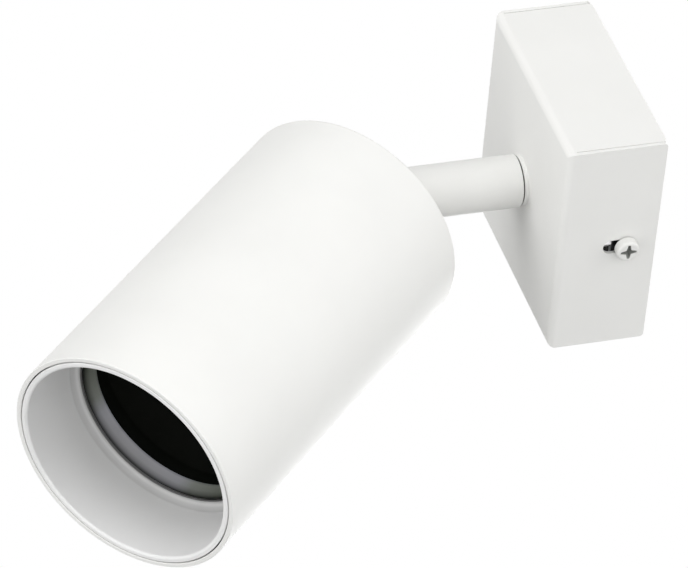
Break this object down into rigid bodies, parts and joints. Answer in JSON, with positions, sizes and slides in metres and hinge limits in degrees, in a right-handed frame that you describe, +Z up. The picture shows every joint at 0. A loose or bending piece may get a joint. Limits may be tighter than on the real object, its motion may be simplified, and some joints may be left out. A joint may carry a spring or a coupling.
{
  "type": "surface mounted ceiling spotlight",
  "caption": "Tube spotlight on a short round arm with a hollow tilting knuckle, turning under a square folded sheet ceiling box; recessed lamp behind a pull-out baffle.",
  "frame": {"origin": "centre of the ceiling face of the bracket and box, midway between the two fixing slots", "axes": "+Z up into the ceiling, +Y and -Y through the two side screws, the head tilts towards -Y; the arm rests swivelled 6.5 degrees about Z and the head tilted 42.5 degrees"},
  "size_m": [0.0683, 0.1291, 0.165],
  "materials": {
    "painted_white": "satin matt white powder coat",
    "painted_screw": "white painted screw head",
    "baffle_white": "matt white coat",
    "zinc_steel": "bright zinc plated steel",
    "black_nylon": "black nylon",
    "terminal_plastic": "black heat resisting plastic",
    "brass": "bare brass",
    "blue_insulation": "blue insulation",
    "green_insulation": "green and yellow insulation",
    "brown_insulation": "brown insulation",
    "lead_sheath": "pale woven heat resisting sleeve",
    "ceramic_white": null,
    "satin_grey": "satin violet grey",
    "dark_glass": "near black gloss front",
    "lamp_housing": "pale moulded housing",
    "nickel_pins": "nickel plated pins"
  },
  "bodies": {
    "ceiling_box": {"canopy_box": "painted_white", "mounting_bracket": "zinc_steel", "side_screws": "painted_screw", "stem_collar": "painted_white", "terminal_block": "terminal_plastic", "terminal_tubes": "brass", "terminal_screws": "zinc_steel", "earth_screw": "brass", "earth_tag": "zinc_steel", "neutral_core": "blue_insulation", "earth_core": "green_insulation", "live_core": "brown_insulation", "earth_link": "green_insulation"},
    "arm": {"arm_tube": "painted_white", "hollow_nipple": "zinc_steel", "black_washer": "black_nylon", "inner_washer": "black_nylon", "stop_washer": "zinc_steel", "spring_washer": "zinc_steel", "swivel_nut": "zinc_steel", "arm_knuckle": "painted_white", "tilt_washer": "black_nylon", "wave_washer": "zinc_steel", "pivot_nut": "zinc_steel", "arm_cover": "painted_white", "arm_lead": "lead_sheath"},
    "head": {"head_shell": "painted_white", "head_knuckle": "painted_white", "head_cover": "painted_white", "holder_bracket": "zinc_steel", "head_washer": "zinc_steel", "head_nut": "zinc_steel", "lampholder": "ceramic_white", "holder_screws": "zinc_steel", "holder_contacts": "zinc_steel", "head_lead": "lead_sheath"},
    "baffle": {"baffle_ring": "baffle_white"},
    "lamp": {"lamp_bezel": "satin_grey", "lamp_lens": "dark_glass", "lamp_body": "lamp_housing", "lamp_base": "lamp_housing", "lamp_pins": "nickel_pins"}
  },
  "joints": [
    {"name": "arm_swivel", "type": "hinge", "parent": "ceiling_box", "child": "arm", "pos_m": [0, 0, -0.025], "axis": [0, 0, 1], "range_deg": [-166.5, 153.5]},
    {"name": "head_tilt", "type": "hinge", "parent": "arm", "child": "head", "pos_m": [0, 0, -0.0635], "axis": [-0.9936, -0.1132, 0], "range_deg": [-42.5, 47.5]},
    {"name": "baffle_pull", "type": "slide", "parent": "head", "child": "baffle", "axis": [0.0765, -0.6712, -0.7373], "range_m": [0, 0.03]},
    {"name": "lamp_twist", "type": "hinge", "parent": "head", "child": "lamp", "pos_m": [0.00844, -0.07404, -0.14482], "axis": [0.0765, -0.6712, -0.7373], "range_deg": [0, 30]}
  ]
}
